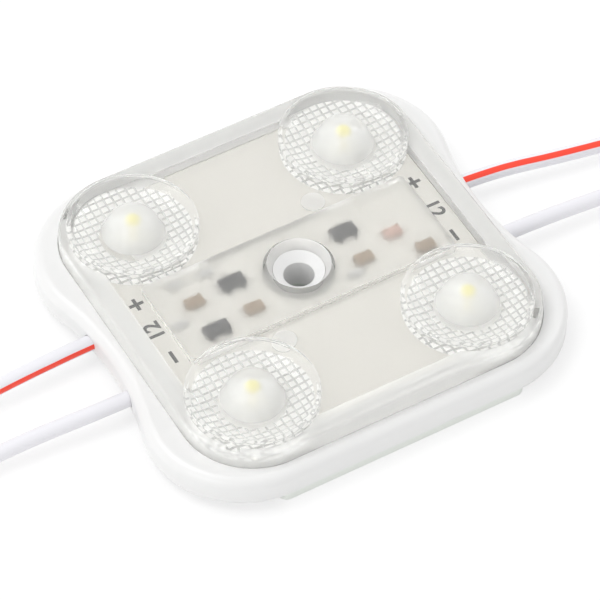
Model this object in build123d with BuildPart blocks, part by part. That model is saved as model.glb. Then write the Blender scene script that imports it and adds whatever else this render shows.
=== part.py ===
from build123d import *
import os
from math import acos, atan2, ceil, degrees, hypot, radians, sqrt, tan

# A four-lens LED module for signs and light boxes, with a pair of wires at each end.
# X runs along the wires, Y across them and Z up. The screw hole is on the Z axis,
# and z = 0 is the underside of the tape's liner, which lies on the mounting surface.
# All sizes are in millimetres.

# Housing: four round lobes, straight long sides and a waist at each wired end. It grows
# from the cover, whose edge it passes by one margin at the sides and another at the ends.
side_margin = 1.8
end_margin = 3.5
lobe_radius = 11.1
waist_depth = 1.75
rim_height = 3.5
rim_rounding = 1.2
foot_rounding = 0.4
wall_seat = 0.3

# Screw tube in the middle of the housing.
screw_hole_radius = 1.75
screw_tube_wall = 1.16
eyelet_below_cover = 1.16
countersink_depth = 0.84

# Clear cover with its four lenses.
lens_pitch = 27.0
lens_radius = 7.4
cover_margin = 0.9
cover_height = 2.1
plate_thickness = 1.8
cover_draft = 0.1
cover_edge_rounding = 0.35
skirt_wall = 2.45
head_recess_radius = 3.6
lens_rim_height = 0.8
lens_rim_width = 0.5
lens_rim_rounding = 0.2
dish_depth = 1.3
dome_radius = 3.2
dome_centre_rise = 0.05
dome_flare = 0.4
led_hollow_radius = 2.5
led_hollow_height = 3.4
led_hollow_tip = 0.8
facet_ring_inset = 0.1
facet_inner_radius = 3.8
facet_pitch = 1.0
facet_groove = 0.4
facet_depth = 0.3

# Frosted pocket over the parts on the board, and the clear boss round the screw tube.
pocket_length = 33.5
pocket_width = 11.8
pocket_corner = 0.6
pocket_ceiling_wall = 0.7
boss_radius = 4.0

# Circuit board and what is soldered on it.
board_thickness = 1.0
led_length = 3.5
led_width = 2.8
led_height = 0.7
led_rim = 0.35
led_cup_depth = 0.3
chip_length = 2.9
chip_width = 1.6
chip_height = 0.9
chip_lead_width = 0.4
chip_lead_reach = 0.5
chip_lead_pitch = 1.9
capacitor_size = (2.0, 1.25, 0.8)
resistor_size = (1.6, 0.8, 0.45)
diode_size = (1.9, 1.2, 0.7)
end_cap_length = 0.3
end_cap_swell = 0.04

# Adhesive tape and its release liner.
tape_length = 30.6
tape_inset = 0.3
tape_corner = 1.0
tape_thickness = 1.08
liner_thickness = 0.12
tape_hole_radius = 2.3

# Wires.
wire_diameter = 1.8
core_diameter = 0.9
wire_spread = 9.0
wire_floor_wall = 0.45
wire_exit_run = 2.6
strip_gap = 0.2
well_corner = 0.3
core_length = 3.0
tip_length = 5.0
solder_radius = 1.2
solder_foot_radius = 0.7

# Clearances.
fit = 0.05
running = 0.1

# Levels from the mounting surface up.
body_bottom = liner_thickness + tape_thickness
rim_top = body_bottom + rim_height
cover_top = rim_top + cover_height
board_top = cover_top - plate_thickness
board_bottom = board_top - board_thickness
cover_foot = board_bottom - wall_seat
lens_rim_top = cover_top + lens_rim_height
dish_floor = lens_rim_top - dish_depth
dome_centre = dish_floor + dome_centre_rise
led_hollow_top = board_top + led_hollow_height
eyelet_top = cover_top - eyelet_below_cover
wire_axis = body_bottom + wire_floor_wall + wire_diameter / 2

# Sizes that follow from the ones above.
screw_tube_radius = screw_hole_radius + screw_tube_wall
cover_corner = lens_radius + cover_margin
cover_size = lens_pitch + 2 * cover_corner
cover_foot_size = cover_size + 2 * cover_draft
dome_foot_radius = dome_radius + dome_flare
facet_ring_radius = lens_radius - facet_ring_inset
skirt_inner_size = cover_size - 2 * skirt_wall
skirt_inner_corner = cover_corner - skirt_wall
cover_hole_radius = screw_tube_radius + fit
board_size = skirt_inner_size - 2 * running
board_corner = skirt_inner_corner - running
body_width = cover_size + 2 * side_margin
body_length = cover_size + 2 * end_margin
tape_width = body_width - 2 * tape_inset
lens_places = [
    (lens_pitch / 2 * x_side, lens_pitch / 2 * y_side) for x_side in (-1, 1) for y_side in (-1, 1)
]
lens_names = ["left_front", "left_back", "right_front", "right_back"]

# The waist is a hollow arc that meets both lobes of its end smoothly.
lobe_x = body_length / 2 - lobe_radius
lobe_y = body_width / 2 - lobe_radius
waist_x = body_length / 2 - waist_depth
waist_gap = waist_x - lobe_x
waist_radius = (waist_gap**2 + lobe_y**2 - lobe_radius**2) / (2 * waist_depth)
waist_centre = waist_x + waist_radius
lobe_turn = degrees(atan2(lobe_y, waist_centre - lobe_x))
wall_x_at_wire = waist_centre - sqrt(waist_radius**2 - (wire_spread / 2) ** 2)
well_outer_x = board_size / 2
strip_x = well_outer_x + strip_gap
solder_x = strip_x - core_length / 2
well_length = well_outer_x - (strip_x - core_length) + running
well_width = wire_spread + 2 * (solder_radius + running)
well_x = well_outer_x - well_length / 2
well_floor = wire_axis - wire_diameter / 2
floor_axis = wire_diameter / 2 + fit

# Where the small parts sit on the board, as shares of the frosted pocket's half length
# and half width from the screw hole.
chip_shares = [(-0.44, 0.34), (-0.72, -0.51), (0.42, 0.39)]
capacitor_shares = [(-0.74, 0.25), (-0.42, -0.41), (0.42, -0.37), (0.83, -0.68)]
resistor_shares = [(-0.78, 0.81), (-0.91, -0.07), (-0.55, 0.78), (0.31, -0.61)]
diode_shares = [(0.70, -0.08)]

# Each wire leaves its housing straight, falls gently and lies on the mounting surface.
# A route holds the points after the strip point and the exit, as (x, y, z).
wire_routes = {
    "left_plus": (-1, 1, [(-38.0, 4.0, 2.2), (-54.0, 3.0, 1.05), (-69.0, 1.3), (-83.0, -1.1)]),
    "left_minus": (-1, -1, [(-38.0, -3.8, 2.2), (-54.0, -4.2, 1.05), (-69.0, -5.4), (-83.0, -7.4)]),
    "right_plus": (1, 1, [(38.0, 2.1, 2.2), (54.0, 0.5, 1.05), (69.0, -0.1), (83.0, 0.1)]),
    "right_minus": (1, -1, [(38.0, -5.1, 2.2), (54.0, -6.3, 1.05), (69.0, -8.2), (83.0, -10.7)]),
}

os.makedirs("parts", exist_ok=True)


def finish(piece, name):
    """Label a finished piece and write it."""
    piece.part.label = name
    export_step(piece.part, f"parts/{name}.step")


# Housing: one white moulding that carries the board and the cover, with the screw
# tube standing in its middle and a well under each pair of solder pads.
with BuildPart() as housing:
    with BuildSketch(Plane.XY.offset(body_bottom)):
        with BuildLine():
            Line((0, body_width / 2), (lobe_x, body_width / 2))
            CenterArc((lobe_x, lobe_y), lobe_radius, 90, -(90 + lobe_turn))
            CenterArc((waist_centre, 0), waist_radius, 180 - lobe_turn, lobe_turn)
            mirror(about=Plane.XZ)
            mirror(about=Plane.YZ)
        make_face()
    extrude(amount=rim_height)
    fillet(housing.edges().group_by(Axis.Z)[-1], rim_rounding)
    fillet(housing.edges().group_by(Axis.Z)[0], foot_rounding)
    with BuildSketch(Plane.XY.offset(cover_foot)):
        RectangleRounded(
            cover_foot_size + 2 * fit, cover_foot_size + 2 * fit, cover_corner + cover_draft + fit
        )
    extrude(until=Until.LAST, mode=Mode.SUBTRACT)
    with BuildSketch(Plane.XY.offset(cover_foot)):
        RectangleRounded(board_size, board_size, board_corner)
    extrude(amount=wall_seat)
    with BuildSketch(Plane.XY.offset(body_bottom)):
        Circle(screw_tube_radius)
    extrude(amount=eyelet_top - body_bottom)
    with BuildSketch(Plane.XZ):
        with BuildLine():
            Polyline(
                (0, body_bottom),
                (screw_hole_radius, body_bottom),
                (screw_hole_radius, eyelet_top - countersink_depth),
                (screw_tube_radius - fit, eyelet_top),
                (0, eyelet_top),
                close=True,
            )
        make_face()
    revolve(axis=Axis.Z, mode=Mode.SUBTRACT)
    with BuildSketch(Plane.XY.offset(board_bottom)):
        for x_side in (-1, 1):
            with Locations((x_side * well_x, 0)):
                RectangleRounded(well_length, well_width, well_corner)
    extrude(amount=well_floor - board_bottom, mode=Mode.SUBTRACT)
    for x_side, y_side, _ in wire_routes.values():
        channel_start = (x_side * well_x, y_side * wire_spread / 2, wire_axis)
        with BuildSketch(Plane(channel_start, z_dir=(x_side, 0, 0))):
            Circle(wire_diameter / 2 + fit)
        extrude(amount=body_length / 2, mode=Mode.SUBTRACT)
finish(housing, "housing")


def pointed_profile(foot_radius, foot, tip_radius, top):
    """A half profile on the Z axis: a slanting side that runs into a round tip."""
    tip_centre = top - tip_radius
    reach = hypot(foot_radius, tip_centre - foot)
    turn = degrees(acos(tip_radius / reach) + atan2(foot - tip_centre, foot_radius))
    tip = CenterArc((0, tip_centre), tip_radius, turn, 90 - turn)
    Polyline(tip @ 0, (foot_radius, foot), (0, foot), tip @ 1)


# Lens cover: one clear moulding. Its skirt stands in the housing round the board, its
# plate lies on the board, and its boss goes down to the housing round the screw tube.
# Each lens is a disc with a dished face round a dome, over a pointed hollow for the LED.
# Crossed grooves cut a ring of square facets in the underside round each hollow.
with BuildPart() as dish_tool:
    with BuildSketch(Plane.XZ):
        with BuildLine():
            dish_rim = (lens_radius - lens_rim_width, lens_rim_top)
            Line((0, dish_floor), (dome_foot_radius, dish_floor))
            TangentArc((dome_foot_radius, dish_floor), dish_rim, tangent=(1, 0))
            Polyline(dish_rim, (dish_rim[0], lens_rim_top + fit), (0, lens_rim_top + fit), (0, dish_floor))
        make_face()
    revolve(axis=Axis.Z)

with BuildPart() as dome:
    with BuildSketch(Plane.XZ):
        with BuildLine():
            pointed_profile(dome_foot_radius, dish_floor, dome_radius, dome_centre + dome_radius)
        make_face()
    revolve(axis=Axis.Z)

with BuildPart() as led_hollow:
    with BuildSketch(Plane.XZ):
        with BuildLine():
            pointed_profile(led_hollow_radius, board_top, led_hollow_tip, led_hollow_top)
        make_face()
    revolve(axis=Axis.Z)

with BuildPart() as facet_tool:
    groove_rows = ceil(facet_ring_radius / facet_pitch)
    side = groove_rows * facet_pitch
    for turn in (0, 90):
        with BuildSketch(Plane.XZ.rotated((0, 0, turn)).offset(-side)):
            with BuildLine():
                edge = [(side, cover_foot), (side, board_top)]
                for row in range(groove_rows - 1, -groove_rows - 1, -1):
                    groove = (row + 0.5) * facet_pitch
                    edge.append((groove + facet_groove / 2, board_top))
                    edge.append((groove, board_top + facet_depth))
                    edge.append((groove - facet_groove / 2, board_top))
                Polyline(*edge, (-side, board_top), (-side, cover_foot), close=True)
            make_face()
        extrude(amount=2 * side)
    with BuildSketch(Plane.XY.offset(cover_foot)):
        Circle(facet_ring_radius)
        Circle(facet_inner_radius, mode=Mode.SUBTRACT)
    extrude(amount=board_top + facet_depth - cover_foot, mode=Mode.INTERSECT)

with BuildPart() as lens_cover:
    with BuildSketch(Plane.XY.offset(cover_foot)):
        RectangleRounded(cover_foot_size, cover_foot_size, cover_corner + cover_draft)
    extrude(amount=cover_top - cover_foot, taper=degrees(atan2(cover_draft, cover_top - cover_foot)))
    fillet(lens_cover.edges().group_by(Axis.Z)[-1], cover_edge_rounding)
    with BuildSketch(Plane.XY.offset(dish_floor)):
        with Locations(*lens_places):
            Circle(lens_radius)
    extrude(amount=lens_rim_top - dish_floor)
    fillet(lens_cover.edges().group_by(Axis.Z)[-1], lens_rim_rounding)
    with Locations(*lens_places):
        add(dish_tool.part, mode=Mode.SUBTRACT)
        add(dome.part)
        add(led_hollow.part, mode=Mode.SUBTRACT)
    with BuildSketch(Plane.XY.offset(cover_foot)):
        RectangleRounded(skirt_inner_size, skirt_inner_size, skirt_inner_corner)
    extrude(amount=wall_seat, mode=Mode.SUBTRACT)
    with BuildSketch(Plane.XY.offset(board_bottom)):
        RectangleRounded(skirt_inner_size, skirt_inner_size, skirt_inner_corner)
        Circle(boss_radius, mode=Mode.SUBTRACT)
    extrude(amount=board_thickness, mode=Mode.SUBTRACT)
    with Locations(*lens_places):
        add(facet_tool.part, mode=Mode.SUBTRACT)
    with BuildSketch(Plane.XY.offset(board_top)):
        RectangleRounded(pocket_length, pocket_width, pocket_corner)
        Circle(boss_radius, mode=Mode.SUBTRACT)
    extrude(amount=plate_thickness - pocket_ceiling_wall, mode=Mode.SUBTRACT)
    with BuildSketch(Plane.XZ):
        with BuildLine():
            Polyline(
                (0, board_bottom),
                (cover_hole_radius, board_bottom),
                (cover_hole_radius, eyelet_top),
                (head_recess_radius, cover_top),
                (0, cover_top),
                close=True,
            )
        make_face()
    revolve(axis=Axis.Z, mode=Mode.SUBTRACT)
finish(lens_cover, "lens_cover")

# Circuit board, on the housing's deck and round the cover's boss.
with BuildPart() as circuit_board:
    with BuildSketch(Plane.XY.offset(board_bottom)):
        RectangleRounded(board_size, board_size, board_corner)
        Circle(boss_radius + running, mode=Mode.SUBTRACT)
    extrude(amount=board_thickness)
finish(circuit_board, "circuit_board")

# LED packages under the domes, each with its cup of phosphor.
for name, place in zip(lens_names, lens_places):
    with BuildPart() as led_package:
        with BuildSketch(Plane(place + (board_top,))):
            Rectangle(led_length, led_width)
        extrude(amount=led_height)
        chamfer(led_package.edges().group_by(Axis.Z)[-1], led_rim / 4)
        with BuildSketch(Plane(place + (board_top + led_height,))):
            RectangleRounded(led_length - 2 * led_rim, led_width - 2 * led_rim, led_rim)
        extrude(amount=-led_cup_depth, mode=Mode.SUBTRACT)
    finish(led_package, f"led_package_{name}")
    with BuildPart() as phosphor:
        with BuildSketch(Plane(place + (board_top + led_height - led_cup_depth,))):
            RectangleRounded(led_length - 2 * led_rim, led_width - 2 * led_rim, led_rim)
        extrude(amount=led_cup_depth - fit)
    finish(phosphor, f"phosphor_{name}")



def board_place(share):
    """The place on the board that a share of the pocket stands for."""
    return share[0] * pocket_length / 2, share[1] * pocket_width / 2


# Driver chips: a moulded body with two leads on one side and one on the other.
for number, share in enumerate(chip_shares, 1):
    x, y = board_place(share)
    with BuildPart() as chip:
        with BuildSketch(Plane((x, y, board_top))):
            Rectangle(chip_length, chip_width)
        extrude(amount=chip_height)
        chamfer(chip.edges().group_by(Axis.Z)[-1], chip_height / 6)
        lead_y = (chip_width + chip_lead_reach) / 2
        with BuildSketch(Plane((x, y, board_top))):
            with Locations((0, lead_y), (-chip_lead_pitch / 2, -lead_y), (chip_lead_pitch / 2, -lead_y)):
                Rectangle(chip_lead_width, chip_lead_reach)
        extrude(amount=chip_height / 4)
    finish(chip, f"driver_chip_{number}")


def two_ended_part(place, size, name):
    """A small block with a metal cap over each end."""
    length, width, height = size
    with BuildPart() as part:
        with BuildSketch(Plane(place + (board_top,))):
            Rectangle(length, width)
        extrude(amount=height)
        cap_x = (length - end_cap_length) / 2 + end_cap_swell
        with BuildSketch(Plane(place + (board_top,))):
            with Locations((-cap_x, 0), (cap_x, 0)):
                Rectangle(end_cap_length, width + 2 * end_cap_swell)
        extrude(amount=height + end_cap_swell)
    finish(part, name)


for kind, size, shares in (
    ("capacitor", capacitor_size, capacitor_shares),
    ("resistor", resistor_size, resistor_shares),
    ("diode", diode_size, diode_shares),
):
    for number, share in enumerate(shares, 1):
        two_ended_part(board_place(share), size, f"{kind}_{number}")

# Wires. The insulation ends inside the housing, where the bare core goes on under its
# solder pad. The far end is stripped and tinned.
for name, (x_side, y_side, far_points) in wire_routes.items():
    y = y_side * wire_spread / 2
    strip_point = (x_side * strip_x, y, wire_axis)
    exit_point = (x_side * (wall_x_at_wire + wire_exit_run), y, wire_axis)
    floor_points = [point if len(point) == 3 else point + (floor_axis,) for point in far_points]
    route = [Vector(point) for point in (strip_point, exit_point, *floor_points)]
    radii = []
    for before, corner, after in zip(route, route[1:], route[2:]):
        shorter_run = min((corner - before).length, (after - corner).length)
        half_turn = radians((corner - before).get_angle(after - corner)) / 2
        radii.append(0.45 * shorter_run / tan(half_turn))
    with BuildPart() as insulation:
        with BuildLine() as wire_path:
            FilletPolyline(*route, radius=radii)
        with BuildSketch(Plane(wire_path.line @ 0, z_dir=wire_path.line % 0)):
            Circle(wire_diameter / 2)
        sweep()
    finish(insulation, f"wire_{name}")
    print(name, "length", round(wire_path.wires()[0].length, 2), "radii", [round(r, 1) for r in radii])

    with BuildPart() as wire_tip:
        with BuildSketch(Plane(wire_path.line @ 1, z_dir=wire_path.line % 1)):
            Circle(core_diameter / 2)
        extrude(amount=tip_length)
        fillet(wire_tip.edges().sort_by(Axis.X)[-1 if x_side > 0 else 0], core_diameter / 5)
    finish(wire_tip, f"wire_tip_{name}")

    with BuildPart() as core:
        with BuildSketch(Plane(strip_point, z_dir=(-x_side, 0, 0))):
            Circle(core_diameter / 2)
        extrude(amount=core_length)
    finish(core, f"core_{name}")

    with BuildPart() as solder_joint:
        with BuildSketch(Plane((x_side * solder_x, y, board_bottom))):
            Circle(solder_radius)
        with BuildSketch(Plane((x_side * solder_x, y, wire_axis))):
            Circle(solder_foot_radius)
        loft()
        with BuildSketch(Plane(strip_point, z_dir=(-x_side, 0, 0))):
            Circle(core_diameter / 2)
        extrude(amount=core_length, mode=Mode.SUBTRACT)
    finish(solder_joint, f"solder_joint_{name}")

# Foam tape and its liner, with a hole for the screw.
tape_layers = (
    ("release_liner", 0, liner_thickness),
    ("adhesive_tape", liner_thickness, tape_thickness),
)
for name, bottom, thickness in tape_layers:
    with BuildPart() as layer:
        with BuildSketch(Plane.XY.offset(bottom)):
            RectangleRounded(tape_length, tape_width, tape_corner)
            Circle(tape_hole_radius, mode=Mode.SUBTRACT)
        extrude(amount=thickness)
    finish(layer, name)
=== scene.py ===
# %% [markdown]
# A sealed LED module for signs and light boxes: a white moulding with a clear cover,
# four domed lenses, and a pair of wires at each end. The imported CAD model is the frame.
# Its pieces stay where they are. This file gives them their looks, and makes the cover,
# the wires and the printed marks in finer shapes than a solid needs.

# %% Load the frame
import math

import bmesh
import bpy
from mathutils import Matrix, Vector


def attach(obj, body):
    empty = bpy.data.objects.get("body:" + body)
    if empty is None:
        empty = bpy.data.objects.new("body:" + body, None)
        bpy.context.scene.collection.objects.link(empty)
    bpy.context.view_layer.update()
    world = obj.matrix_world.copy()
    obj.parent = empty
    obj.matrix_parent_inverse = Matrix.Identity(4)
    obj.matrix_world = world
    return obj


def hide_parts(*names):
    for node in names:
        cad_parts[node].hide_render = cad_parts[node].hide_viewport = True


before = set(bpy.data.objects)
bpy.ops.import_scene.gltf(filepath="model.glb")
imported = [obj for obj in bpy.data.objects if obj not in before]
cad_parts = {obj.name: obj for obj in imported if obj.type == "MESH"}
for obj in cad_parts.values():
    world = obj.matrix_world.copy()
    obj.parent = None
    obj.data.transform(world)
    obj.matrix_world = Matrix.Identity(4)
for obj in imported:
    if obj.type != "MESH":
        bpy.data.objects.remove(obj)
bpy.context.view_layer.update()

MM = 0.001
scene = bpy.context.scene
scene.view_settings.view_transform = "Standard"

# %% [markdown]
# A square in a photograph tells where its camera stood. The four lens axes are such a
# square, so the camera's direction, distance and lens are worked out from them. A small
# offset puts the module at the same place in the frame. A camera could also be turned by
# hand until the picture fits, but that is slow and never quite meets all four lenses.

# %% Place the camera
VIEW_AZIMUTH = math.radians(-30.4302)
VIEW_ELEVATION = math.radians(50.3045)
VIEW_ROLL = math.radians(0.6991)
VIEW_DISTANCE = 426.797 * MM
VIEW_OFFSET = (0.1016 * MM, -4.0894 * MM)
FOCAL_PIXELS = 3873.85
IMAGE_PIXELS = 600
COVER_TOP = 6.8 * MM

back = Vector((
    math.sin(VIEW_AZIMUTH) * math.cos(VIEW_ELEVATION),
    -math.cos(VIEW_AZIMUTH) * math.cos(VIEW_ELEVATION),
    math.sin(VIEW_ELEVATION),
))
level_right = Vector((math.cos(VIEW_AZIMUTH), math.sin(VIEW_AZIMUTH), 0))
level_up = back.cross(level_right)
right = level_right * math.cos(VIEW_ROLL) + level_up * math.sin(VIEW_ROLL)
up = level_up * math.cos(VIEW_ROLL) - level_right * math.sin(VIEW_ROLL)

camera_data = bpy.data.cameras.new("camera")
camera_data.sensor_width = 36
camera_data.lens = FOCAL_PIXELS / IMAGE_PIXELS * camera_data.sensor_width
camera_data.clip_start = 0.01
camera_data.clip_end = 20
camera = bpy.data.objects.new("camera", camera_data)
scene.collection.objects.link(camera)
camera.matrix_world = Matrix((
    (right.x, up.x, back.x, 0),
    (right.y, up.y, back.y, 0),
    (right.z, up.z, back.z, 0),
    (0, 0, 0, 1),
))
camera.location = (
    Vector((0, 0, COVER_TOP)) + back * VIEW_DISTANCE + right * VIEW_OFFSET[0] + up * VIEW_OFFSET[1]
)
scene.camera = camera
print("camera at", [round(v / MM, 1) for v in camera.location], "lens", round(camera_data.lens, 1))

# %% [markdown]
# Each finish is a small node tree round one Principled shader. The helpers make that
# tree and set the shader's own sockets, so that every finish reads the same way. A fine
# grain of noise, as a bump, takes the glassy look off moulded and drawn plastic.


# %% Helpers for materials and pieces
def new_material(name, **sockets):
    """A material with one Principled shader, whose sockets are given by name."""
    material = bpy.data.materials.new(name)
    material.use_nodes = True
    for socket, value in sockets.items():
        shader_of(material).inputs[socket.replace("_", " ")].default_value = value
    return material


def shader_of(material):
    """The Principled shader of a material."""
    return material.node_tree.nodes["Principled BSDF"]


def add_node(tree, kind, **values):
    """A node of a kind, with its plain properties set."""
    node = tree.nodes.new(kind)
    for key, value in values.items():
        setattr(node, key, value)
    return node


def grain(material, scale, strength, distance):
    """Adds a fine bump of noise to a material. The scale is in grains a metre."""
    tree = material.node_tree
    place = add_node(tree, "ShaderNodeTexCoord")
    noise = add_node(tree, "ShaderNodeTexNoise")
    noise.inputs["Scale"].default_value = scale
    bump = add_node(tree, "ShaderNodeBump")
    bump.inputs["Strength"].default_value = strength
    bump.inputs["Distance"].default_value = distance
    tree.links.new(place.outputs["Object"], noise.inputs["Vector"])
    tree.links.new(noise.outputs["Fac"], bump.inputs["Height"])
    tree.links.new(bump.outputs["Normal"], shader_of(material).inputs["Normal"])


def new_piece(name, mesh, *materials):
    """An object at the origin for a finished mesh."""
    mesh.name = name
    piece = bpy.data.objects.new(name, mesh)
    scene.collection.objects.link(piece)
    mesh.materials.clear()
    for material in materials:
        mesh.materials.append(material)
    return piece


# %% [markdown]
# The wires are 20 AWG: 1.8 mm over soft white insulation. Each leaves its housing
# straight, falls gently and lies on the floor. A route is a short list of points, and a
# NURBS line turns it into a smooth curve, as a stiff wire bends.

# %% Wire routes
WIRE_RADIUS = 0.9 * MM
STRIP_X = 19.45
EXIT_RUN_X = 26.45
WIRE_Y = 4.5
WIRE_Z = 2.55
FLOOR_Z = 0.95
# The sides in X and Y, and the points outside the housing. A point without a height
# lies on the floor.
wire_routes = {
    "left_plus": (-1, 1, [(-38.0, 4.0, 2.2), (-54.0, 3.0, 1.05), (-69.0, 1.3), (-83.0, -1.1)]),
    "left_minus": (-1, -1, [(-38.0, -3.8, 2.2), (-54.0, -4.2, 1.05), (-69.0, -5.4), (-83.0, -7.4)]),
    "right_plus": (1, 1, [(38.0, 2.1, 2.2), (54.0, 0.5, 1.05), (69.0, -0.1), (83.0, 0.1)]),
    "right_minus": (1, -1, [(38.0, -5.1, 2.2), (54.0, -6.3, 1.05), (69.0, -8.2), (83.0, -10.7)]),
}


def route_line(points, steps=16):
    """The smooth line of a route, as the points that its NURBS spline gives."""
    curve = bpy.data.curves.new("route", "CURVE")
    curve.dimensions = "3D"
    curve.resolution_u = steps
    spline = curve.splines.new("NURBS")
    spline.points.add(len(points) - 1)
    for point, place in zip(spline.points, points):
        point.co = (*place, 1)
    spline.order_u = 3
    spline.use_endpoint_u = True
    holder = bpy.data.objects.new("route", curve)
    line = bpy.data.meshes.new_from_object(holder)
    path = [vertex.co.copy() for vertex in line.vertices]
    bpy.data.objects.remove(holder)
    bpy.data.curves.remove(curve)
    bpy.data.meshes.remove(line)
    return path


# %% [markdown]
# A curve with a bevel would give a round wire too. The tube is skinned in rings instead,
# because a red stripe has to run along it: the UV map of the rings holds how far along
# the wire a point is, and how far round it.

# %% Skin a tube round a route
SEAM = -0.25


def tube_mesh(path, radius, sides):
    """A closed tube round a path. Its UV map holds metres along and turns from the underside."""
    bm = bmesh.new()
    uv = bm.loops.layers.uv.new("UVMap")
    rings, reach = [], [0.0]
    for before, after in zip(path, path[1:]):
        reach.append(reach[-1] + (after - before).length)
    for i, centre in enumerate(path):
        along = (path[min(i + 1, len(path) - 1)] - path[max(i - 1, 0)]).normalized()
        side = Vector((0, 0, 1)).cross(along).normalized()
        top = along.cross(side)
        ring = []
        for k in range(sides):
            angle = 2 * math.pi * (k / sides + SEAM)
            spoke = math.cos(angle) * side + math.sin(angle) * top
            ring.append(bm.verts.new(centre + radius * spoke))
        rings.append(ring)
    for i in range(len(rings) - 1):
        for k in range(sides):
            corners = [
                (rings[i][k], reach[i], k / sides),
                (rings[i + 1][k], reach[i + 1], k / sides),
                (rings[i + 1][(k + 1) % sides], reach[i + 1], (k + 1) / sides),
                (rings[i][(k + 1) % sides], reach[i], (k + 1) / sides),
            ]
            face = bm.faces.new([c[0] for c in corners])
            face.smooth = True
            for loop, corner in zip(face.loops, corners):
                loop[uv].uv = corner[1:]
    bm.faces.new(rings[0])
    bm.faces.new(list(reversed(rings[-1])))
    bmesh.ops.recalc_face_normals(bm, faces=bm.faces)
    mesh = bpy.data.meshes.new("tube")
    bm.to_mesh(mesh)
    bm.free()
    return mesh


# %% [markdown]
# The insulation is a soft plastic with a faint lavender cast. On the plus wires a stripe
# is printed along it, and a print on a soft wire wanders a little. The stripe is the
# band of the UV map that is near one turn, with a slow noise added to that turn.

# %% Wire insulation finish
WIRE_WHITE = (0.78, 0.775, 0.81, 1)
WIRE_GRAIN = (2600, 0.05, 0.0001)
STRIPE_RED = (0.93, 0.07, 0.04, 1)
# The stripe's width, soft edge and wander are in turns, and the noise is in waves a metre.
STRIPE_WIDTH = 0.13
STRIPE_EDGE = 0.008
STRIPE_WANDER = 0.02
WANDER_SCALE = 160


def insulation_material(name, stripe_centre=None):
    """Soft lavender white insulation, with a red stripe where a centre is given."""
    material = new_material(name, Base_Color=WIRE_WHITE, Roughness=0.34, Specular_IOR_Level=0.4)
    grain(material, *WIRE_GRAIN)
    if stripe_centre is None:
        return material
    tree = material.node_tree
    place = add_node(tree, "ShaderNodeTexCoord")
    split = add_node(tree, "ShaderNodeSeparateXYZ")
    wander = add_node(tree, "ShaderNodeTexNoise", noise_dimensions="1D")
    wander.inputs["Scale"].default_value = WANDER_SCALE
    away = add_node(tree, "ShaderNodeMath", operation="SUBTRACT")
    away.inputs[1].default_value = stripe_centre
    shift = add_node(tree, "ShaderNodeMath", operation="MULTIPLY_ADD")
    shift.inputs[1].default_value = STRIPE_WANDER
    size = add_node(tree, "ShaderNodeMath", operation="ABSOLUTE")
    edge = add_node(tree, "ShaderNodeMapRange", interpolation_type="SMOOTHSTEP")
    edge.inputs["From Min"].default_value = STRIPE_WIDTH / 2 + STRIPE_EDGE
    edge.inputs["From Max"].default_value = STRIPE_WIDTH / 2 - STRIPE_EDGE
    mix = add_node(tree, "ShaderNodeMix", data_type="RGBA")
    mix.inputs[6].default_value = WIRE_WHITE
    mix.inputs[7].default_value = STRIPE_RED
    link = tree.links.new
    link(place.outputs["UV"], split.inputs[0])
    link(split.outputs["X"], wander.inputs["W"])
    link(split.outputs["Y"], away.inputs[0])
    link(wander.outputs["Fac"], shift.inputs[0])
    link(away.outputs[0], shift.inputs[2])
    link(shift.outputs[0], size.inputs[0])
    link(size.outputs[0], edge.inputs["Value"])
    link(edge.outputs["Result"], mix.inputs[0])
    link(mix.outputs[2], shader_of(material).inputs["Base Color"])
    return material


# The stripe's place round each plus wire, in turns from the underside. A quarter is the
# wire's left side as it leaves the module, and a half is its top.
stripe_places = {"left_plus": 0.29, "right_plus": 0.58}
insulation = {
    name: insulation_material("insulation_" + name, stripe_places.get(name)) for name in wire_routes
}
print("insulation finishes", list(insulation))

# %% Make the wires
WIRE_SIDES = 32
for name, (x_side, y_side, far_points) in wire_routes.items():
    near = [(x_side * x, y_side * WIRE_Y, WIRE_Z) for x in (STRIP_X, EXIT_RUN_X)]
    far = [point if len(point) == 3 else (*point, FLOOR_Z) for point in far_points]
    path = route_line([Vector(point) * MM for point in near + far])
    wire = new_piece(
        f"insulation_{name}", tube_mesh(path, WIRE_RADIUS, WIRE_SIDES), insulation[name]
    )
    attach(wire, "root")
    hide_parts(f"wire_{name}")

# %% [markdown]
# The stage is a plain pale floor under a soft studio sky. The camera sees both as nearly
# white, and the floor keeps a little of the module's shadow. The Light Path node tells
# the camera's rays from the rest, so the white costs the module no extra light. A clear
# cover bends light, and the renderer finds few ways through it to a lamp, so the sky is
# brighter for rays that come through the cover. It gives back what the cover takes.

# %% Sky
SKY_STRENGTH = 0.72
SKY_THROUGH = 1.34
SKY_SEEN = 1.0

world = bpy.data.worlds.new("studio")
scene.world = world
world.use_nodes = True
sky = world.node_tree
sky.nodes.clear()
sky_out = add_node(sky, "ShaderNodeOutputWorld")
sky_light = add_node(sky, "ShaderNodeBackground")
sky_light.inputs["Color"].default_value = (1, 1, 1, 1)
sky_rays = add_node(sky, "ShaderNodeLightPath")
sky_through = add_node(sky, "ShaderNodeMath", operation="MULTIPLY_ADD")
sky_through.inputs[1].default_value = SKY_THROUGH - SKY_STRENGTH
sky_through.inputs[2].default_value = SKY_STRENGTH
sky_seen = add_node(sky, "ShaderNodeMath", operation="MULTIPLY_ADD")
sky_seen.inputs[1].default_value = SKY_SEEN - SKY_STRENGTH
sky.links.new(sky_rays.outputs["Is Transmission Ray"], sky_through.inputs[0])
sky.links.new(sky_rays.outputs["Is Camera Ray"], sky_seen.inputs[0])
sky.links.new(sky_through.outputs[0], sky_seen.inputs[2])
sky.links.new(sky_seen.outputs[0], sky_light.inputs["Strength"])
sky.links.new(sky_light.outputs[0], sky_out.inputs["Surface"])
print("sky strengths", SKY_STRENGTH, SKY_THROUGH, SKY_SEEN)

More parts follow.
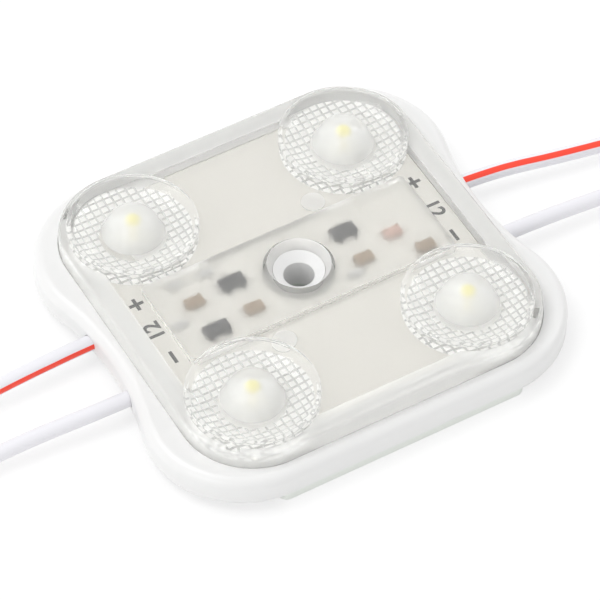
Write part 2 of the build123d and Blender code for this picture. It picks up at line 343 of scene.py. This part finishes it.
# %% Floor
FLOOR_HALF = 3.0
# The floor lies a hair under the liner, because two faces at one level flicker.
FLOOR_LEVEL = -0.03 * MM
FLOOR_WHITE = (0.96, 0.96, 0.96, 1)
FLOOR_GLOW = 0.65


def camera_mix(tree, seen, lit, target):
    """Shows one shader to the camera and through the clear cover, and another to the rest."""
    rays = add_node(tree, "ShaderNodeLightPath")
    any_ray = add_node(tree, "ShaderNodeMath", operation="MAXIMUM")
    mix = add_node(tree, "ShaderNodeMixShader")
    tree.links.new(rays.outputs["Is Camera Ray"], any_ray.inputs[0])
    tree.links.new(rays.outputs["Is Transmission Ray"], any_ray.inputs[1])
    tree.links.new(any_ray.outputs[0], mix.inputs[0])
    tree.links.new(lit, mix.inputs[1])
    tree.links.new(seen, mix.inputs[2])
    tree.links.new(mix.outputs[0], target)


floor_material = new_material("floor", Base_Color=FLOOR_WHITE, Roughness=0.9)
floor_tree = floor_material.node_tree
floor_shader = shader_of(floor_material)
floor_glow = add_node(floor_tree, "ShaderNodeEmission")
floor_seen = add_node(floor_tree, "ShaderNodeMixShader")
floor_seen.inputs[0].default_value = FLOOR_GLOW
floor_tree.links.new(floor_shader.outputs[0], floor_seen.inputs[1])
floor_tree.links.new(floor_glow.outputs[0], floor_seen.inputs[2])
floor_out = floor_tree.nodes["Material Output"].inputs["Surface"]
camera_mix(floor_tree, floor_seen.outputs[0], floor_shader.outputs[0], floor_out)
floor_corners = [
    (x * FLOOR_HALF, y * FLOOR_HALF, FLOOR_LEVEL) for x, y in ((-1, -1), (1, -1), (1, 1), (-1, 1))
]
floor_mesh = bpy.data.meshes.new("floor")
floor_mesh.from_pydata(floor_corners, [], [(0, 1, 2, 3)])
floor_piece = new_piece("floor", floor_mesh, floor_material)
print("floor side in m", 2 * FLOOR_HALF)

# %% [markdown]
# Four large soft boxes stand round the module, as a product photographer sets them. They
# are weak beside the sky, so they only give the domes and edges their highlights.

# %% Soft boxes
# The place in metres, the side in metres and the power in watts.
soft_boxes = {
    "top_box": ((-0.3, 0.25, 0.8), 0.5, 3.2),
    "left_box": ((-0.7, -0.3, 0.45), 0.35, 1.2),
    "right_box": ((0.75, -0.05, 0.5), 0.3, 0.8),
    "back_box": ((0.55, 0.63, 0.32), 0.4, 0.6),
}


def area_light(name, place, size, power):
    """A square soft box that faces the module."""
    light = bpy.data.lights.new(name, "AREA")
    light.shape = "SQUARE"
    light.size = size
    light.energy = power
    box = bpy.data.objects.new(name, light)
    scene.collection.objects.link(box)
    box.location = place
    box.rotation_euler = Vector(place).to_track_quat("Z", "Y").to_euler()


for name, (place, size, power) in soft_boxes.items():
    area_light(name, place, size, power)
print("soft boxes", list(soft_boxes))

# %% [markdown]
# Closed shapes are skinned through rings of points or turned on a lathe, then joined
# and cut with the Boolean modifier. The result is one closed mesh, as a moulding is,
# and light bends in it as it does in the real one. A stack of open sheets would look
# right only from one side.

# %% Helpers for closed shapes
AXIS_RADIUS = 0.0005


def rounded_ring(half, corner, z, steps=16):
    """The outline of a rounded rectangle, as points at one level, from sizes in millimetres."""
    points = []
    for quarter, (sx, sy) in enumerate(((1, 1), (-1, 1), (-1, -1), (1, -1))):
        for i in range(steps + 1):
            angle = math.pi / 2 * (quarter + i / steps)
            x = sx * (half[0] - corner) + corner * math.cos(angle)
            y = sy * (half[1] - corner) + corner * math.sin(angle)
            points.append(Vector((x, y, z)) * MM)
    return points


def skin(rings, closed=False):
    """A shape skinned through rings. It is capped at both ends, or runs back to its start."""
    bm = bmesh.new()
    rows = [[bm.verts.new(point) for point in ring] for ring in rings]
    count = len(rows[0])
    pairs = list(zip(rows, rows[1:])) + ([(rows[-1], rows[0])] if closed else [])
    for low, high in pairs:
        for k in range(count):
            bm.faces.new((low[k], low[(k + 1) % count], high[(k + 1) % count], high[k]))
    if not closed:
        bm.faces.new(rows[0])
        bm.faces.new(list(reversed(rows[-1])))
    bmesh.ops.recalc_face_normals(bm, faces=bm.faces)
    mesh = bpy.data.meshes.new("shape")
    bm.to_mesh(mesh)
    bm.free()
    return mesh


def lathe(profile, place=(0, 0), segments=96, closed=False):
    """A shape turned about an upright axis. The profile is (radius, z) in millimetres."""
    turns = [2 * math.pi * k / segments for k in range(segments)]
    rings = []
    for radius, z in profile:
        radius = max(radius, AXIS_RADIUS)
        rings.append([
            Vector((place[0] + radius * math.cos(turn), place[1] + radius * math.sin(turn), z)) * MM
            for turn in turns
        ])
    return skin(rings, closed)


def arc(centre, radius, start, end, steps):
    """Points of an arc in a profile, with angles in degrees."""
    angles = [math.radians(start + (end - start) * i / steps) for i in range(steps + 1)]
    return [(centre[0] + radius * math.cos(a), centre[1] + radius * math.sin(a)) for a in angles]


def combine(mesh, tool, operation):
    """Joins a tool to a mesh, or cuts it out of it, and returns the new mesh."""
    body = bpy.data.objects.new("body", mesh)
    cutter = bpy.data.objects.new("cutter", tool)
    scene.collection.objects.link(body)
    scene.collection.objects.link(cutter)
    modifier = body.modifiers.new("combine", "BOOLEAN")
    modifier.operation = operation
    modifier.solver = "MANIFOLD"
    modifier.object = cutter
    made = bpy.data.meshes.new_from_object(body.evaluated_get(bpy.context.evaluated_depsgraph_get()))
    for thing in (body, cutter):
        bpy.data.objects.remove(thing)
    bpy.data.meshes.remove(mesh)
    bpy.data.meshes.remove(tool)
    return made


# %% [markdown]
# The cover is one clear moulding. A rounded plate with a skirt carries four lenses:
# a low disc, a dish in its face and a dome in the middle of the dish. The underside
# is hollow over each LED, faceted round it, and frosted over the small parts. Every
# cutter runs past the face that it opens by CUT, and faces that would lie at one level
# are kept apart by STEP, because a boolean can't tell the two sides of such faces.

# %% Cover sizes
CUT = 0.3
STEP = 0.02
COVER_HALF = 21.8
COVER_CORNER = 8.3
COVER_DRAFT = 0.1
COVER_FOOT = 3.7
PLATE_TOP = 6.8
PLATE_BOTTOM = 5.02
EDGE_ROUNDING = 0.35
EDGE_DEGREES = range(0, 91, 15)
BAND_INNER = 19.4
SKIRT_INNER = 19.35
SKIRT_CORNER = 5.85
LENS_OFFSET = 13.5
LENS_PLACES = [(sx * LENS_OFFSET, sy * LENS_OFFSET) for sx in (-1, 1) for sy in (-1, 1)]
LENS_RADIUS = 7.4
LENS_RIM_TOP = 7.6
LENS_RIM_WIDTH = 0.5
LENS_RIM_ROUNDING = 0.2
DISH_FLOOR = 6.3
DOME_FOOT = 3.6
DOME_RADIUS = 3.2
DOME_TOP = 9.55
HOLLOW_FOOT = 2.5
HOLLOW_TIP = 0.8
HOLLOW_TOP = 8.4
RING_INNER = 3.8
RING_OUTER = 7.3
POCKET_HALF = (16.75, 5.9)
POCKET_CORNER = 0.6
POCKET_CEILING = 6.1
BOSS_FOOT = 4.02
BOSS_RADIUS = 4.0
COVER_HOLE = 2.96
EYELET_TOP = 5.64
HEAD_RECESS = 3.6
EJECTOR_PLACES = [(6.31, 7.83), (-6.31, -7.92)]
EJECTOR_RADIUS = 1.35
EJECTOR_DEPTH = 0.12

# %% Plate and skirt
cover_rings = [rounded_ring((COVER_HALF + COVER_DRAFT,) * 2, COVER_CORNER + COVER_DRAFT, COVER_FOOT)]
for degrees in EDGE_DEGREES:
    inset = EDGE_ROUNDING * (1 - math.cos(math.radians(degrees)))
    z = PLATE_TOP - EDGE_ROUNDING * (1 - math.sin(math.radians(degrees)))
    cover_rings.append(rounded_ring((COVER_HALF - inset,) * 2, COVER_CORNER - inset, z))
# The last ring splits the top face, so that the band over the skirt can be milky.
band_corner = BAND_INNER - COVER_HALF + COVER_CORNER
cover_rings.append(rounded_ring((BAND_INNER,) * 2, band_corner, PLATE_TOP))
cover = skin(cover_rings)
print("plate faces", len(cover.polygons))

# %% [markdown]
# Each lens is turned on the lathe: a disc is joined on, a dish is cut in its face, and a
# dome is joined in the dish. Domes and hollows share one outline, a slanting side that
# runs into a round tip.


# %% Lenses on top
def pointed(foot_radius, foot, tip_radius, top):
    """A half profile with a slanting side that runs into a round tip."""
    tip_centre = top - tip_radius
    reach = math.hypot(foot_radius, tip_centre - foot)
    lean = math.atan2(foot - tip_centre, foot_radius)
    turn = math.degrees(math.acos(tip_radius / reach) + lean)
    return [(foot_radius, foot)] + arc((0, tip_centre), tip_radius, turn, 90, 20)


dish_run = LENS_RADIUS - LENS_RIM_WIDTH - DOME_FOOT
dish_rise = LENS_RIM_TOP - DISH_FLOOR
dish_radius = (dish_run**2 + dish_rise**2) / (2 * dish_rise)
dish_angle = math.degrees(math.asin(dish_run / dish_radius))
rim_centre = (LENS_RADIUS - LENS_RIM_ROUNDING, LENS_RIM_TOP - LENS_RIM_ROUNDING)
disc = [(0, DISH_FLOOR - CUT), (LENS_RADIUS, DISH_FLOOR - CUT)]
disc += arc(rim_centre, LENS_RIM_ROUNDING, 0, 90, 6)
disc += [(0, LENS_RIM_TOP)]
dish = [(0, DISH_FLOOR)]
dish += arc((DOME_FOOT, DISH_FLOOR + dish_radius), dish_radius, -90, dish_angle - 90, 18)
dish += [(LENS_RADIUS - LENS_RIM_WIDTH, LENS_RIM_TOP + CUT), (0, LENS_RIM_TOP + CUT)]
dome = [(0, DISH_FLOOR - CUT), (DOME_FOOT, DISH_FLOOR - CUT)]
dome += pointed(DOME_FOOT, DISH_FLOOR, DOME_RADIUS, DOME_TOP)
for place in LENS_PLACES:
    cover = combine(cover, lathe(disc, place), "UNION")
    cover = combine(cover, lathe(dish, place), "DIFFERENCE")
    cover = combine(cover, lathe(dome, place), "UNION")
print("faces with lenses", len(cover.polygons))

# %% [markdown]
# From below the cover is a shallow tray. The hollow over each LED starts the beam, and
# the ring round it leaves a flat field for the facets. Two shallow round marks are left
# by the ejector pins of the mould. The boss in the middle carries the screw.

# %% Underside
skirt_rings = [
    rounded_ring((SKIRT_INNER,) * 2, SKIRT_CORNER, z) for z in (COVER_FOOT - CUT, PLATE_BOTTOM)
]
hollow = [(0, PLATE_BOTTOM - CUT), (HOLLOW_FOOT, PLATE_BOTTOM - CUT)]
hollow += pointed(HOLLOW_FOOT, PLATE_BOTTOM, HOLLOW_TIP, HOLLOW_TOP)
ring = [(RING_INNER, COVER_FOOT - CUT), (RING_OUTER, COVER_FOOT - CUT)]
ring += [(RING_OUTER, PLATE_BOTTOM + STEP), (RING_INNER, PLATE_BOTTOM + STEP)]
pin = [(0, PLATE_BOTTOM - CUT), (EJECTOR_RADIUS, PLATE_BOTTOM - CUT)]
pin += [(EJECTOR_RADIUS, PLATE_BOTTOM + EJECTOR_DEPTH), (0, PLATE_BOTTOM + EJECTOR_DEPTH)]
boss = [(0, BOSS_FOOT), (BOSS_RADIUS, BOSS_FOOT)]
boss += [(BOSS_RADIUS, PLATE_TOP - CUT), (0, PLATE_TOP - CUT)]
hole = [(0, BOSS_FOOT - CUT), (COVER_HOLE, BOSS_FOOT - CUT), (COVER_HOLE, EYELET_TOP)]
hole += [(HEAD_RECESS, PLATE_TOP), (HEAD_RECESS, PLATE_TOP + CUT), (0, PLATE_TOP + CUT)]
pocket_levels = (PLATE_BOTTOM - CUT, POCKET_CEILING)
cover = combine(cover, skin(skirt_rings), "DIFFERENCE")
for place in LENS_PLACES:
    cover = combine(cover, lathe(hollow, place), "DIFFERENCE")
    cover = combine(cover, lathe(ring, place, closed=True), "DIFFERENCE")
for place in EJECTOR_PLACES:
    cover = combine(cover, lathe(pin, place, 48), "DIFFERENCE")
pocket = skin([rounded_ring(POCKET_HALF, POCKET_CORNER, z, 6) for z in pocket_levels])
cover = combine(cover, pocket, "DIFFERENCE")
cover = combine(cover, lathe(boss), "UNION")
cover = combine(cover, lathe(hole), "DIFFERENCE")
print("faces with the underside", len(cover.polygons))

# %% [markdown]
# The facets under each lens are squares between crossed grooves. A Geometry Nodes tree
# lays long wedges side by side, with their pitch, width, depth and number as inputs, so
# a finer or a deeper pattern takes one number. A texture could draw such lines, but only
# real grooves bend the light that comes through the lens.

# %% A comb of wedges
GROOVE_PITCH = 1.0
GROOVE_WIDTH = 0.3
GROOVE_DEPTH = 0.22
GROOVES = 16


def groove_tree():
    """Wedges that lie along X, side by side, each as long as the field is wide."""
    tree = bpy.data.node_groups.new("grooves", "GeometryNodeTree")
    sockets = tree.interface
    sockets.new_socket("Geometry", in_out="OUTPUT", socket_type="NodeSocketGeometry")
    for label in ("Pitch", "Width", "Depth", "Level"):
        sockets.new_socket(label, in_out="INPUT", socket_type="NodeSocketFloat")
    sockets.new_socket("Count", in_out="INPUT", socket_type="NodeSocketInt")
    sockets.new_socket("Finish", in_out="INPUT", socket_type="NodeSocketMaterial")
    link = tree.links.new
    given = add_node(tree, "NodeGroupInput")
    out = add_node(tree, "NodeGroupOutput")

    def math_node(operation, first, second):
        node = add_node(tree, "ShaderNodeMath", operation=operation)
        for socket, value in zip(node.inputs, (first, second)):
            if isinstance(value, (int, float)):
                socket.default_value = value
            else:
                link(value, socket)
        return node.outputs[0]

    # One wedge is a three-sided prism that lies along X, with its flat side down. A
    # three-sided cylinder of radius 1 is the root of 3 wide and 1.5 high.
    prism = add_node(tree, "GeometryNodeMeshCylinder", fill_type="NGON")
    prism.inputs["Vertices"].default_value = 3
    prism.inputs["Radius"].default_value = 1.0
    field = math_node("MULTIPLY", given.outputs["Pitch"], given.outputs["Count"])
    link(field, prism.inputs["Depth"])
    lay = add_node(tree, "GeometryNodeTransform")
    lay.inputs["Rotation"].default_value = (0, -math.pi / 2, 0)
    link(prism.outputs["Mesh"], lay.inputs["Geometry"])
    shape = add_node(tree, "ShaderNodeCombineXYZ")
    shape.inputs["X"].default_value = 1
    link(math_node("DIVIDE", given.outputs["Width"], math.sqrt(3)), shape.inputs["Y"])
    link(math_node("DIVIDE", given.outputs["Depth"], 1.5), shape.inputs["Z"])
    size = add_node(tree, "GeometryNodeTransform")
    link(lay.outputs["Geometry"], size.inputs["Geometry"])
    link(shape.outputs[0], size.inputs["Scale"])

    # The line of places runs along Y, and the wedge's flat side sits at the level.
    line = add_node(tree, "GeometryNodeMeshLine", mode="OFFSET")
    link(given.outputs["Count"], line.inputs["Count"])
    start = add_node(tree, "ShaderNodeCombineXYZ")
    half = math_node("MULTIPLY", math_node("SUBTRACT", given.outputs["Count"], 1), -0.5)
    link(math_node("MULTIPLY", half, given.outputs["Pitch"]), start.inputs["Y"])
    lift = math_node("DIVIDE", given.outputs["Depth"], 3)
    link(math_node("ADD", given.outputs["Level"], lift), start.inputs["Z"])
    step = add_node(tree, "ShaderNodeCombineXYZ")
    link(given.outputs["Pitch"], step.inputs["Y"])
    link(start.outputs[0], line.inputs["Start Location"])
    link(step.outputs[0], line.inputs["Offset"])
    copies = add_node(tree, "GeometryNodeInstanceOnPoints")
    link(line.outputs["Mesh"], copies.inputs["Points"])
    link(size.outputs["Geometry"], copies.inputs["Instance"])
    real = add_node(tree, "GeometryNodeRealizeInstances")
    finish = add_node(tree, "GeometryNodeSetMaterial")
    link(copies.outputs["Instances"], real.inputs["Geometry"])
    link(real.outputs["Geometry"], finish.inputs["Geometry"])
    link(given.outputs["Finish"], finish.inputs["Material"])
    link(finish.outputs["Geometry"], out.inputs["Geometry"])
    return tree


def grown(tree, values, material):
    """The mesh that a Geometry Nodes tree makes from named values."""
    holder = bpy.data.objects.new("holder", bpy.data.meshes.new("holder"))
    scene.collection.objects.link(holder)
    modifier = holder.modifiers.new("grow", "NODES")
    modifier.node_group = tree
    items = tree.interface.items_tree
    names = {item.name: item.identifier for item in items if item.in_out == "INPUT"}
    for label, value in {**values, "Finish": material}.items():
        modifier[names[label]] = value
    settled = holder.evaluated_get(bpy.context.evaluated_depsgraph_get())
    mesh = bpy.data.meshes.new_from_object(settled)
    bpy.data.objects.remove(holder)
    return mesh


comb_tree = groove_tree()
print("comb nodes", len(comb_tree.nodes))

# %% [markdown]
# The cover is one resin, but each part of it looks different. The plate is clear, the
# domes are thick and milky, and the mould is rough over the small parts. All finishes
# are the same shader with another roughness, and with more or less of a milky white
# beside the clear. The refraction is set below that of real resin, so that the
# lenses look as bright as in the photograph. A yellow spot shows in each dome, so the
# tip of each hollow is tinted yellow.

# %% Cover finishes
COVER_TINT = (1, 1, 0.985, 1)
COVER_IOR = 1.32
# The grooves are a darker grey than the cells, as painted shade for the dark lines between the
# facets.
GROOVE_SHADE_GREY = (0.87, 0.87, 0.86, 1)
# The screw recess is a little darker and warmer than the plate, as painted shade in its slope.
RECESS_SHADE_TINT = (0.95, 0.945, 0.93, 1)
# The phosphor's image, which each dome shows as a yellow spot, is painted round the tip of each
# hollow.
PHOSPHOR_IMAGE_YELLOW = (1, 0.9, 0.15, 1)
TIP_Z = 7.9
TIP_RADII = (0.5, 1.0)
# Roughness, clearness and colour. A lower clearness mixes in more milky white.
cover_looks = {
    "clear_cover": (0.03, 0.95, COVER_TINT),
    "hazy_hollow_painted_image": (0.45, 0.4, COVER_TINT),
    "frosted_pocket": (0.8, 0.9, COVER_TINT),
    "facet_cells": (0.1, 0.12, COVER_TINT),
    "bonded_skirt": (0.4, 0.1, COVER_TINT),
    "clear_lens": (0.02, 0.77, COVER_TINT),
    "screw_recess_painted_shade": (0.4, 0.4, RECESS_SHADE_TINT),
    "facet_grooves_painted_shade": (0.1, 0.5, GROOVE_SHADE_GREY),
    "milky_dome": (0.03, 0.64, COVER_TINT),
}


def lens_spot(material, level, radii, inner, outer):
    """Colours a material round one point of each lens axis, and fades to the outer colour."""
    tree = material.node_tree
    place = add_node(tree, "ShaderNodeTexCoord")
    fold = add_node(tree, "ShaderNodeVectorMath", operation="ABSOLUTE")
    away = add_node(tree, "ShaderNodeVectorMath", operation="DISTANCE")
    away.inputs[1].default_value = (LENS_OFFSET * MM, LENS_OFFSET * MM, level * MM)
    fade = add_node(tree, "ShaderNodeMapRange", interpolation_type="SMOOTHSTEP")
    fade.inputs["From Min"].default_value = radii[0] * MM
    fade.inputs["From Max"].default_value = radii[1] * MM
    mix = add_node(tree, "ShaderNodeMix", data_type="RGBA")
    mix.inputs[6].default_value = inner
    mix.inputs[7].default_value = outer
    link = tree.links.new
    link(place.outputs["Object"], fold.inputs[0])
    link(fold.outputs[0], away.inputs[0])
    link(away.outputs["Value"], fade.inputs["Value"])
    link(fade.outputs["Result"], mix.inputs[0])
    link(mix.outputs[2], shader_of(material).inputs["Base Color"])


cover_finishes = {
    name: new_material(
        name, Base_Color=colour, Roughness=roughness, IOR=COVER_IOR, Transmission_Weight=clearness
    )
    for name, (roughness, clearness, colour) in cover_looks.items()
}
# A painted image of the phosphor: yellow round the tip of each hollow, fading to the clear tint.
lens_spot(cover_finishes["hazy_hollow_painted_image"], TIP_Z, TIP_RADII, PHOSPHOR_IMAGE_YELLOW, COVER_TINT)
print("cover finishes", list(cover_finishes))

# %% [markdown]
# A comb of wedges and a turned one are trimmed to the ring of facets, joined, and cut
# from the cover under each lens. They are trimmed one by one, because a cutter that
# runs through itself leaves faces inside the cover.


# %% Cut the facets
def trimmed_comb(turn, inset):
    """A comb in the ring of facets, turned, and held off another comb's faces by an inset."""
    comb = grown(comb_tree, {
        "Pitch": GROOVE_PITCH * MM, "Width": GROOVE_WIDTH * MM, "Depth": GROOVE_DEPTH * MM,
        "Level": (PLATE_BOTTOM - inset) * MM, "Count": GROOVES,
    }, cover_finishes["clear_cover"])
    comb.transform(Matrix.Rotation(turn, 4, "Z"))
    inner, outer = RING_INNER + inset, RING_OUTER - 2 * STEP - inset
    trim = [(inner, PLATE_BOTTOM - CUT), (outer, PLATE_BOTTOM - CUT)]
    trim += [(outer, PLATE_TOP), (inner, PLATE_TOP)]
    return combine(lathe(trim, closed=True), comb, "INTERSECT")


facet_tool = combine(trimmed_comb(0, 0), trimmed_comb(math.pi / 2, STEP / 2), "UNION")
for place in LENS_PLACES:
    tool = facet_tool.copy()
    tool.transform(Matrix.Translation(Vector((*place, 0)) * MM))
    cover = combine(cover, tool, "DIFFERENCE")
print("facet tool faces", len(facet_tool.polygons), "cover faces", len(cover.polygons))
bpy.data.meshes.remove(facet_tool)

# %% [markdown]
# One mesh can wear many finishes, one to a face. A face's place says which part of the
# moulding it is, so no face is picked by hand, and a changed size carries its finish
# along.

# %% Finish the cover
SHARP_ANGLE = math.radians(28)
FLAT = 0.9999


def cover_part(x, y, z, off_axis, flat):
    """The finish of a face of the cover, from its place in millimetres."""
    edge = max(abs(x), abs(y))
    if off_axis < HOLLOW_FOOT + STEP and z < HOLLOW_TOP + STEP:
        if z < TIP_Z - CUT or off_axis < HOLLOW_TIP + CUT:
            return "hazy_hollow_painted_image"
    if abs(z - POCKET_CEILING) < STEP / 2:
        return "frosted_pocket"
    if RING_INNER < off_axis < RING_OUTER and abs(z - PLATE_BOTTOM) < GROOVE_DEPTH:
        return "facet_cells" if flat else "facet_grooves_painted_shade"
    if math.hypot(x, y) < HEAD_RECESS and z < PLATE_TOP - STEP:
        return "screw_recess_painted_shade"
    # The ejector marks wear the recess's rough finish and its painted shade.
    if abs(z - PLATE_BOTTOM - EJECTOR_DEPTH) < STEP / 2 and off_axis > LENS_RADIUS:
        return "screw_recess_painted_shade"
    if z < PLATE_BOTTOM - STEP and edge < COVER_HALF:
        return "bonded_skirt"
    if off_axis < DOME_FOOT + STEP and z > DISH_FLOOR - STEP:
        return "milky_dome"
    if edge > BAND_INNER and PLATE_BOTTOM < z < PLATE_TOP + STEP:
        return "milky_dome"
    if off_axis < LENS_RADIUS + STEP and z > PLATE_BOTTOM + GROOVE_DEPTH:
        return "clear_lens"
    return "clear_cover"


cover_piece = new_piece("clear_cover", cover, *cover_finishes.values())
order = list(cover_finishes)
for face in cover.polygons:
    x, y, z = face.center / MM
    off_axis = math.hypot(abs(x) - LENS_OFFSET, abs(y) - LENS_OFFSET)
    flat = abs(face.normal.z) > FLAT
    face.use_smooth = not flat
    face.material_index = order.index(cover_part(x, y, z, off_axis, flat))
cover.set_sharp_from_angle(angle=SHARP_ANGLE)
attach(cover_piece, "root")
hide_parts("lens_cover")
worn = [face.material_index for face in cover.polygons]
print("faces of each finish", {name: worn.count(i) for i, name in enumerate(order)})

# %% [markdown]
# The board carries a plus sign, a minus sign and the voltage at each end, printed in
# dark ink. Each mark is a thin sheet that stands in the board's face. It is a mesh of
# its own and no texture, so its edge stays sharp at any size.

# %% Printed marks
INK_LOW, INK_HIGH = 4.99, 5.01
INK_BLACK = (0.06, 0.06, 0.06, 1)
STROKE = 0.42
SIGN_SIZE = 1.75
FIGURE_SIZE = 2.6
FIGURE_SPREAD = 0.07
WELD = 0.0005
ink = new_material("board_ink", Base_Color=INK_BLACK, Roughness=0.6)
# The end, the turn, X, and Y of the plus sign, the minus sign and the figures.
mark_places = [
    ("left", math.pi / 2, -18.0, 4.45, -4.0, 0.2),
    ("right", -math.pi / 2, 17.6, 4.8, -4.1, 0.3),
]


def sheet(outline, place, turn):
    """A thin closed sheet of ink with an outline in millimetres, turned and then placed."""
    spin = Matrix.Rotation(turn, 3, "Z")
    rings = []
    for z in (INK_LOW, INK_HIGH):
        ring = [spin @ Vector((x, y, 0)) + Vector((*place, z)) for x, y in outline]
        rings.append([point * MM for point in ring])
    return skin(rings)


def sign_outline(plus):
    """The outline of a plus sign or a minus sign."""
    a, b = SIGN_SIZE / 2, STROKE / 2
    if not plus:
        return [(-a, -b), (a, -b), (a, b), (-a, b)]
    return [
        (-a, -b), (-b, -b), (-b, -a), (b, -a), (b, -b), (a, -b),
        (a, b), (b, b), (b, a), (-b, a), (-b, b), (-a, b),
    ]


def figure_mesh(text, place, turn):
    """Figures in the built-in font, as thin closed sheets of ink."""
    font = bpy.data.curves.new("figures", "FONT")
    font.body = text
    font.size = FIGURE_SIZE * MM
    font.align_x, font.align_y = "CENTER", "CENTER"
    font.offset = FIGURE_SPREAD * MM
    font.extrude = (INK_HIGH - INK_LOW) / 2 * MM
    font.resolution_u = 4
    holder = bpy.data.objects.new("figures", font)
    mesh = bpy.data.meshes.new_from_object(holder)
    bpy.data.objects.remove(holder)
    bpy.data.curves.remove(font)
    bm = bmesh.new()
    bm.from_mesh(mesh)
    bmesh.ops.remove_doubles(bm, verts=bm.verts, dist=WELD * MM)
    bmesh.ops.recalc_face_normals(bm, faces=bm.faces)
    bm.to_mesh(mesh)
    bm.free()
    middle = Vector((*place, (INK_LOW + INK_HIGH) / 2)) * MM
    mesh.transform(Matrix.Translation(middle) @ Matrix.Rotation(turn, 4, "Z"))
    return mesh


for side, turn, x, plus_y, minus_y, figure_y in mark_places:
    marks = {
        "plus": sheet(sign_outline(True), (x, plus_y), turn),
        "minus": sheet(sign_outline(False), (x, minus_y), turn),
        "figures": figure_mesh("12", (x, figure_y), turn),
    }
    for kind, mesh in marks.items():
        mark = new_piece(f"mark_{side}_{kind}", mesh, ink)
        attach(mark, "root")

# %% [markdown]
# The other pieces keep their CAD shapes. Each finish names the first word of the nodes
# that wear it, so a new resistor in the CAD gets its grey without a change here. The
# phosphor is yellow only in its middle, because the lens blurs its rim to white.

# %% Finishes of the CAD nodes
PHOSPHOR_YELLOW = (0.95, 0.84, 0.4, 1)
PHOSPHOR_RIM = (0.9, 0.89, 0.84, 1)
PHOSPHOR_Z = 5.7
PHOSPHOR_RADII = (0.3, 0.8)
HOUSING_GRAIN = (900, 0.04, 0.0002)
# The nodes' first words, then colour, roughness and metallic.
cad_looks = {
    "housing_white": ("housing", (0.78, 0.78, 0.775, 1), 0.32, 0),
    "board_white": ("circuit_board", (0.66, 0.645, 0.615, 1), 0.5, 0),
    "led_white": ("led_package", (0.88, 0.88, 0.86, 1), 0.45, 0),
    "phosphor": ("phosphor", PHOSPHOR_RIM, 0.6, 0),
    "chip_black": ("driver_chip", (0.03, 0.03, 0.035, 1), 0.5, 0),
    "capacitor_brown": ("capacitor", (0.3, 0.22, 0.15, 1), 0.5, 0),
    "resistor_grey": ("resistor", (0.5, 0.5, 0.5, 1), 0.5, 0),
    "diode_body": ("diode", (0.5, 0.33, 0.28, 1), 0.5, 0),
    "tinned": (("core", "wire_tip"), (0.75, 0.74, 0.72, 1), 0.3, 1),
    "solder": ("solder", (0.7, 0.7, 0.71, 1), 0.22, 1),
    "foam_tape": ("adhesive_tape", (0.8, 0.83, 0.79, 1), 0.5, 0),
    "liner": ("release_liner", (0.86, 0.88, 0.85, 1), 0.4, 0),
}
cad_finishes = {}
for finish, (words, colour, roughness, metallic) in cad_looks.items():
    material = new_material(finish, Base_Color=colour, Roughness=roughness, Metallic=metallic)
    dressed = [node for name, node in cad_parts.items() if name.startswith(words)]
    for node in dressed:
        node.data.materials.clear()
        node.data.materials.append(material)
    cad_finishes[finish] = material
    print(finish, "on", len(dressed))
grain(cad_finishes["housing_white"], *HOUSING_GRAIN)
lens_spot(cad_finishes["phosphor"], PHOSPHOR_Z, PHOSPHOR_RADII, PHOSPHOR_YELLOW, PHOSPHOR_RIM)
